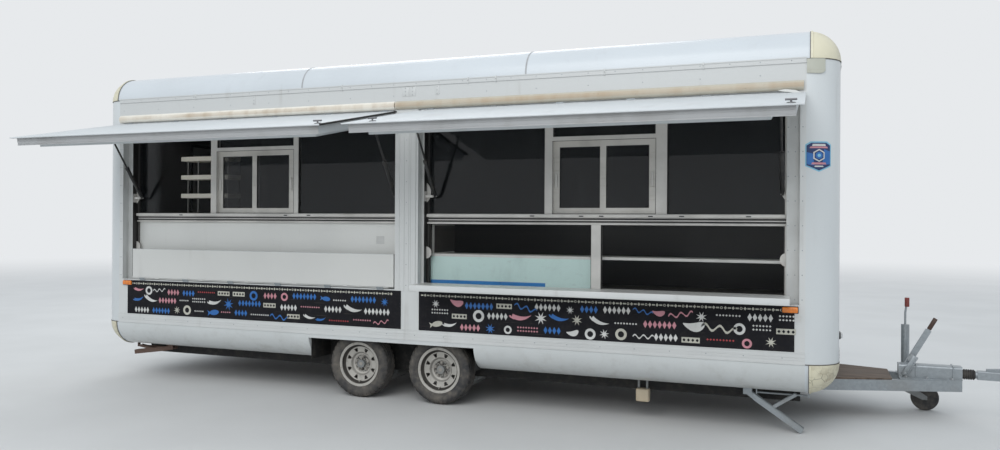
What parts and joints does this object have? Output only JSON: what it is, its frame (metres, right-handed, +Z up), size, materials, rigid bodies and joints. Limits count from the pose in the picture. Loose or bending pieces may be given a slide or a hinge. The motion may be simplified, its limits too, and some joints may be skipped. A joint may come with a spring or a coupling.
{
  "type": "food trailer",
  "caption": "Tandem-axle catering trailer with rounded body edges, two raised serving hatches, sliding windows, a fold-down counter, corner steadies and a braked drawbar.",
  "frame": {"origin": "on the ground under the middle of the overall box, with the hatches open", "axes": "+X towards the drawbar, -Y towards the serving side, +Z up"},
  "size_m": [7.7159, 3.4454, 2.777],
  "materials": {
    "white_panel": "gloss white gelcoat, slightly dirty",
    "cream_plastic": "yellowed glass-fibre mouldings",
    "white_frame": "white window profile",
    "glass": "clear glass, dark inside",
    "black_board": "black printed board",
    "galvanised": "galvanised steel",
    "dark_steel": "black paint",
    "wheel_silver": "silver wheel paint",
    "tyre": "worn tyre",
    "rubber": "black rubber",
    "orange_lens": "orange lens",
    "red_lens": "red lens",
    "deck_board": "weathered plywood",
    "counter_board": "pale board"
  },
  "bodies": {
    "root": {"axles": "galvanised", "bay_linings": "white_frame", "bellows": "rubber", "body_mouldings": "white_panel", "chassis_frame": "galvanised", "corner_caps": "cream_plastic", "corner_posts": "white_panel", "coupling_head": "galvanised", "drawbar_arms": "galvanised", "drawbar_deck": "deck_board", "floor_edges": "white_panel", "floor_panel": "white_panel", "handbrake_lever": "galvanised", "hinge_covers": "cream_plastic", "hinge_eyes": "galvanised", "infill_panel": "white_panel", "jockey_tube": "galvanised", "overrun_housing": "galvanised", "plain_walls": "white_panel", "rear_lamps": "red_lens", "rear_wall": "white_panel", "roof_edges": "white_panel", "roof_panel": "white_panel", "serving_counter": "counter_board", "serving_wall": "white_panel", "side_markers": "orange_lens", "sign_boards": "black_board", "steady_bases": "galvanised", "strut_brackets": "white_frame", "wheel_boxes": "galvanised", "window_frames": "white_frame", "window_glass": "glass", "window_sashes": "white_frame"},
    "rear_right_wheel": {"rear_right_tyre": "tyre", "rear_right_rim": "wheel_silver"},
    "rear_left_wheel": {"rear_left_tyre": "tyre", "rear_left_rim": "wheel_silver"},
    "front_right_wheel": {"front_right_tyre": "tyre", "front_right_rim": "wheel_silver"},
    "front_left_wheel": {"front_left_tyre": "tyre", "front_left_rim": "wheel_silver"},
    "rear_hatch": {"rear_hatch": "white_panel"},
    "rear_strut_barrels": {"rear_strut_barrels": "dark_steel"},
    "rear_strut_rods": {"rear_strut_rods": "dark_steel"},
    "rear_flap": {"rear_flap": "white_panel"},
    "front_hatch": {"front_hatch": "white_panel"},
    "front_strut_barrels": {"front_strut_barrels": "dark_steel"},
    "front_strut_rods": {"front_strut_rods": "dark_steel"},
    "front_flap": {"front_flap": "white_panel"},
    "entry_door": {"entry_door": "white_panel"},
    "front_right_steady_leg": {"front_right_steady_leg": "galvanised"},
    "front_right_steady_stay": {"front_right_steady_stay": "galvanised"},
    "front_left_steady_leg": {"front_left_steady_leg": "galvanised"},
    "front_left_steady_stay": {"front_left_steady_stay": "galvanised"},
    "rear_right_steady_leg": {"rear_right_steady_leg": "galvanised"},
    "rear_right_steady_stay": {"rear_right_steady_stay": "galvanised"},
    "rear_left_steady_leg": {"rear_left_steady_leg": "galvanised"},
    "rear_left_steady_stay": {"rear_left_steady_stay": "galvanised"},
    "jockey_fork": {"jockey_fork": "galvanised"},
    "jockey_wheel": {"jockey_wheel": "tyre"}
  },
  "joints": [
    {"name": "rear_right_wheel_spin", "type": "hinge", "parent": "root", "child": "rear_right_wheel", "pos_m": [-1.11, -0.42481, 0.272], "axis": [0, 1, 0], "continuous": true},
    {"name": "rear_left_wheel_spin", "type": "hinge", "parent": "root", "child": "rear_left_wheel", "pos_m": [-1.11, 1.52619, 0.272], "axis": [0, 1, 0], "continuous": true},
    {"name": "front_right_wheel_spin", "type": "hinge", "parent": "root", "child": "front_right_wheel", "pos_m": [-0.382, -0.42481, 0.272], "axis": [0, 1, 0], "continuous": true},
    {"name": "front_left_wheel_spin", "type": "hinge", "parent": "root", "child": "front_left_wheel", "pos_m": [-0.382, 1.52619, 0.272], "axis": [0, 1, 0], "continuous": true},
    {"name": "rear_hatch_hinge", "type": "hinge", "parent": "root", "child": "rear_hatch", "pos_m": [-0.62, -0.60931, 2.336], "axis": [1, 0, 0], "range_deg": [0, 78.3]},
    {"name": "rear_strut_swing", "type": "hinge", "parent": "root", "child": "rear_strut_barrels", "pos_m": [-0.62, -0.50431, 1.66], "axis": [1, 0, 0], "range_deg": [-40, 1]},
    {"name": "rear_strut_slide", "type": "slide", "parent": "rear_strut_barrels", "child": "rear_strut_rods", "axis": [0, -0.5651, 0.825], "range_m": [-0.24, 0.001]},
    {"name": "rear_flap_hinge", "type": "hinge", "parent": "root", "child": "rear_flap", "pos_m": [-0.62, -0.60731, 0.925], "axis": [1, 0, 0], "range_deg": [0, 90]},
    {"name": "front_hatch_hinge", "type": "hinge", "parent": "root", "child": "front_hatch", "pos_m": [-0.62, -0.60931, 2.336], "axis": [1, 0, 0], "range_deg": [0, 78.3]},
    {"name": "front_strut_swing", "type": "hinge", "parent": "root", "child": "front_strut_barrels", "pos_m": [-0.62, -0.50431, 1.66], "axis": [1, 0, 0], "range_deg": [-40, 1]},
    {"name": "front_strut_slide", "type": "slide", "parent": "front_strut_barrels", "child": "front_strut_rods", "axis": [0, -0.5651, 0.825], "range_m": [-0.24, 0.001]},
    {"name": "front_flap_hinge", "type": "hinge", "parent": "root", "child": "front_flap", "pos_m": [-0.62, -0.60731, 0.925], "axis": [1, 0, 0], "range_deg": [-90, 0]},
    {"name": "entry_door_hinge", "type": "hinge", "parent": "root", "child": "entry_door", "pos_m": [-3.82, 1.31569, 1.4], "axis": [0, 0, -1], "range_deg": [0, 110]},
    {"name": "front_right_steady_fold", "type": "hinge", "parent": "root", "child": "front_right_steady_leg", "pos_m": [1.97, -0.32931, 0.262], "axis": [0, 1, 0], "range_deg": [-25.63, 0]},
    {"name": "front_right_stay_turn", "type": "hinge", "parent": "front_right_steady_leg", "child": "front_right_steady_stay", "pos_m": [2.1282, -0.32931, 0.15677], "axis": [0, 1, 0], "range_deg": [-1, 52.26]},
    {"name": "front_left_steady_fold", "type": "hinge", "parent": "root", "child": "front_left_steady_leg", "pos_m": [1.97, 1.43069, 0.262], "axis": [0, 1, 0], "range_deg": [-25.63, 0]},
    {"name": "front_left_stay_turn", "type": "hinge", "parent": "front_left_steady_leg", "child": "front_left_steady_stay", "pos_m": [2.1282, 1.43069, 0.15677], "axis": [0, 1, 0], "range_deg": [-1, 52.26]},
    {"name": "rear_right_steady_fold", "type": "hinge", "parent": "root", "child": "rear_right_steady_leg", "pos_m": [-3.21, -0.32931, 0.262], "axis": [0, -1, 0], "range_deg": [0, 25.63]},
    {"name": "rear_right_stay_turn", "type": "hinge", "parent": "rear_right_steady_leg", "child": "rear_right_steady_stay", "pos_m": [-3.39815, -0.32931, 0.23556], "axis": [0, -1, 0], "range_deg": [-52.26, 1]},
    {"name": "rear_left_steady_fold", "type": "hinge", "parent": "root", "child": "rear_left_steady_leg", "pos_m": [-3.21, 1.43069, 0.262], "axis": [0, -1, 0], "range_deg": [0, 25.63]},
    {"name": "rear_left_stay_turn", "type": "hinge", "parent": "rear_left_steady_leg", "child": "rear_left_steady_stay", "pos_m": [-3.39815, 1.43069, 0.23556], "axis": [0, -1, 0], "range_deg": [-52.26, 1]},
    {"name": "jockey_swivel", "type": "hinge", "parent": "root", "child": "jockey_fork", "pos_m": [3.086, 0.79669, 0.3], "axis": [0, 0, 1], "continuous": true},
    {"name": "jockey_wheel_spin", "type": "hinge", "parent": "jockey_fork", "child": "jockey_wheel", "pos_m": [3.226, 0.79669, 0.1], "axis": [0, 1, 0], "continuous": true}
  ],
  "couplings": [
    {"joint": "rear_strut_swing", "follows": "rear_hatch_hinge", "ratio": -0.44492},
    {"joint": "rear_strut_slide", "follows": "rear_hatch_hinge", "m_per_rad": -0.16287},
    {"joint": "front_strut_swing", "follows": "front_hatch_hinge", "ratio": -0.44492},
    {"joint": "front_strut_slide", "follows": "front_hatch_hinge", "m_per_rad": -0.16287},
    {"joint": "front_right_stay_turn", "follows": "front_right_steady_fold", "ratio": -2},
    {"joint": "front_left_stay_turn", "follows": "front_left_steady_fold", "ratio": -2},
    {"joint": "rear_right_stay_turn", "follows": "rear_right_steady_fold", "ratio": -2},
    {"joint": "rear_left_stay_turn", "follows": "rear_left_steady_fold", "ratio": -2}
  ]
}
